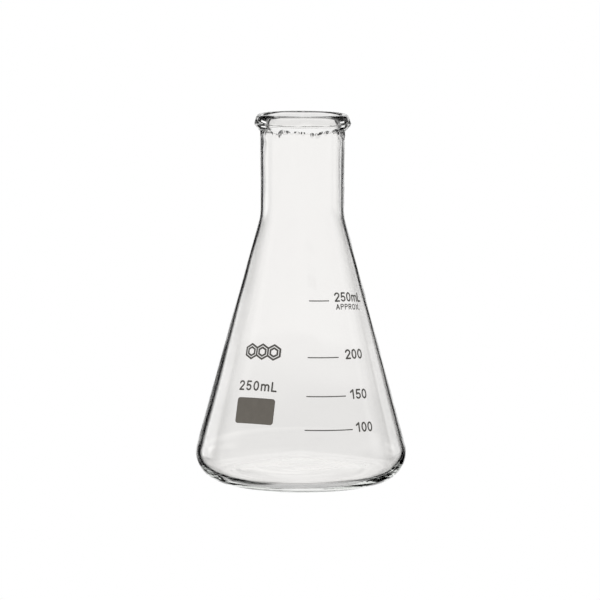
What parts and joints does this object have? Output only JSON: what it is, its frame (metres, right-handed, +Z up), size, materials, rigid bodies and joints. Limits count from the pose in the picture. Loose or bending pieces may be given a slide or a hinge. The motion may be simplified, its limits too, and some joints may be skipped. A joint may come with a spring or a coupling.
{
  "type": "erlenmeyer flask",
  "caption": "Conical glass laboratory flask with a narrow neck, rolled rim, pushed-up base, and fired enamel volume marks and a write-on patch.",
  "frame": {"origin": "centre of the base circle, on the plane of the ring that the flask stands on", "axes": "+Z up the flask's axis to the mouth; -Y towards the middle of the printed side; +X to the right as that side is read"},
  "size_m": [0.085, 0.085, 0.1476],
  "materials": {
    "glass": "clear borosilicate glass, fire polished",
    "patch_enamel": "matt fired enamel that takes pencil",
    "print_enamel": "matt fired enamel"
  },
  "bodies": {
    "root": {"glass_body": "glass", "marking_patch": "patch_enamel", "capacity_text": "print_enamel", "ring_emblem": "print_enamel", "graduation_line_100": "print_enamel", "graduation_line_150": "print_enamel", "graduation_line_200": "print_enamel", "graduation_line_250": "print_enamel", "graduation_number_100": "print_enamel", "graduation_number_150": "print_enamel", "graduation_number_200": "print_enamel", "graduation_number_250": "print_enamel", "approx_text": "print_enamel"}
  },
  "joints": []
}
